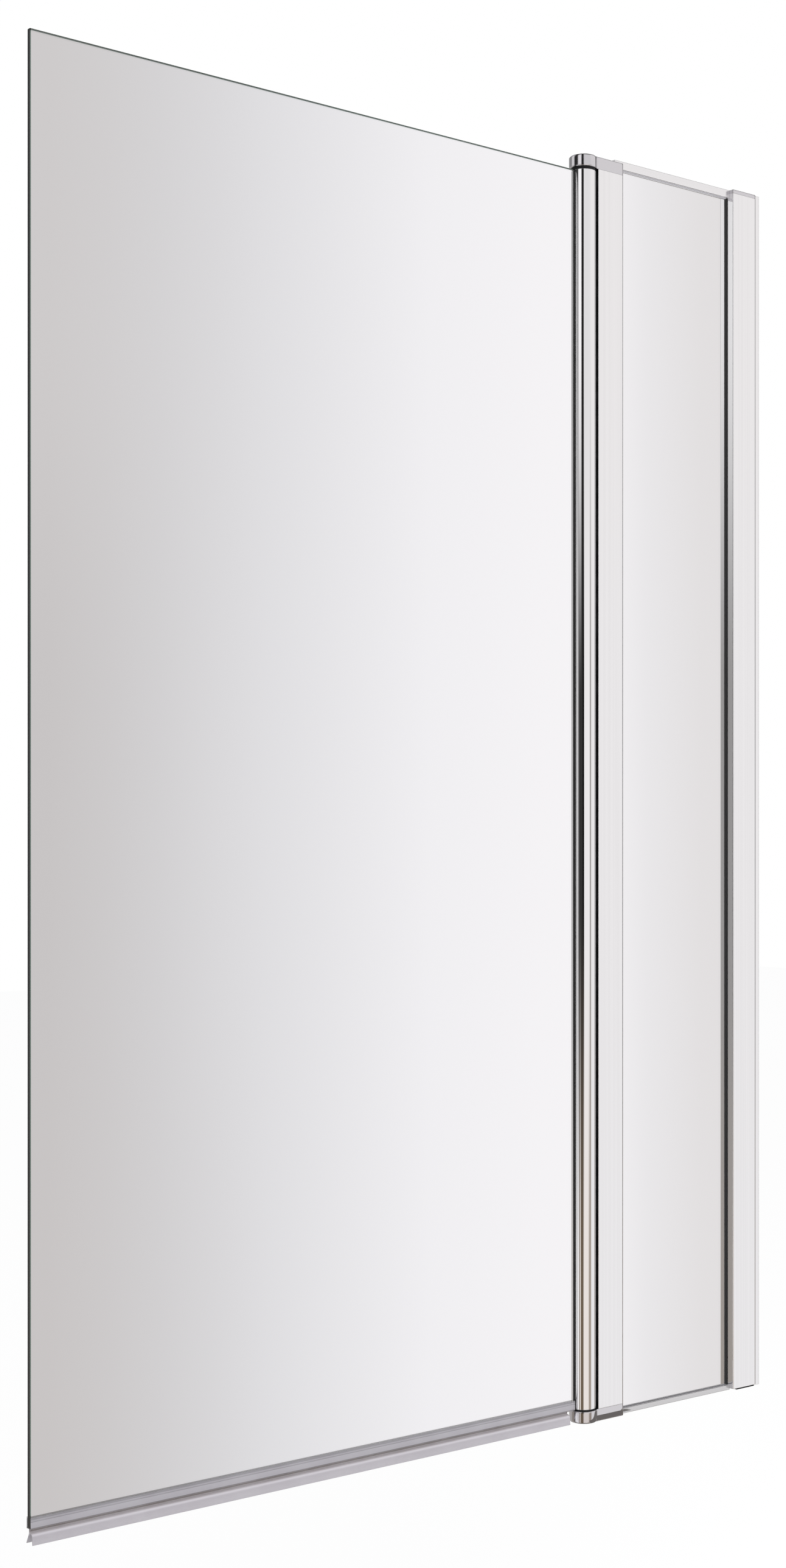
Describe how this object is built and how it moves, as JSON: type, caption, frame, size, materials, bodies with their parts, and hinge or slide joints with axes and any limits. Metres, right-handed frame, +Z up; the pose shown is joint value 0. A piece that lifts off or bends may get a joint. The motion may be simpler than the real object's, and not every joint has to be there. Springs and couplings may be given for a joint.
{
  "type": "bath screen",
  "caption": "Frameless pivoting glass bath screen: a square-cornered door on a full-height post beside a narrow fixed panel in bright metal stiles, screwed to the wall.",
  "frame": {"origin": "on the wall plane, in the middle of the wall channel's width, at the level of the bath rim", "axes": "+X into the wall, so the screen stands out along -X; -Y towards the front, where the camera stands; +Z up"},
  "size_m": [0.9902, 0.0317, 1.435],
  "materials": {
    "polished_aluminium": "bright polished",
    "chromed_cap": "chromed casting",
    "steel": "stainless",
    "black_rubber": "matt",
    "black_plastic": "moulded",
    "bush_plastic": "moulded",
    "cover_plastic": "metallised",
    "clear_seal": "translucent",
    "clear_glass": "clear, polished edge"
  },
  "bodies": {
    "wall_profile": {"wall_channel": "polished_aluminium"},
    "fixed_frame": {"wall_stile": "polished_aluminium", "wall_stile_cap": "chromed_cap", "wall_stile_foot": "black_plastic", "lock_screws": "steel", "lock_nuts": "steel", "screw_covers": "cover_plastic", "hinge_stile": "polished_aluminium", "cradle_seal": "black_rubber", "hinge_cap_top": "chromed_cap", "hinge_cap_bottom": "chromed_cap", "cap_screws": "steel", "pivot_pin_top": "steel", "pivot_pin_bottom": "steel", "thrust_washer_top": "black_plastic", "thrust_washer_bottom": "black_plastic", "top_rail": "polished_aluminium", "bottom_rail": "polished_aluminium", "gasket_top": "black_rubber", "gasket_bottom": "black_rubber", "gasket_wall_side": "black_rubber", "gasket_hinge_side": "black_rubber", "fixed_glass": "clear_glass"},
    "door": {"pivot_post": "polished_aluminium", "pivot_bush_top": "bush_plastic", "pivot_bush_bottom": "bush_plastic", "door_glass": "clear_glass", "door_gasket_front": "black_rubber", "door_gasket_back": "black_rubber", "bottom_seal": "clear_seal"}
  },
  "joints": [
    {"name": "width_adjust", "type": "slide", "parent": "wall_profile", "child": "fixed_frame", "axis": [-1, 0, 0], "range_m": [-0.005, 0.015]},
    {"name": "door_hinge", "type": "hinge", "parent": "fixed_frame", "child": "door", "pos_m": [-0.28204, 0, 0], "axis": [0, 0, 1], "range_deg": [-90, 90]}
  ]
}
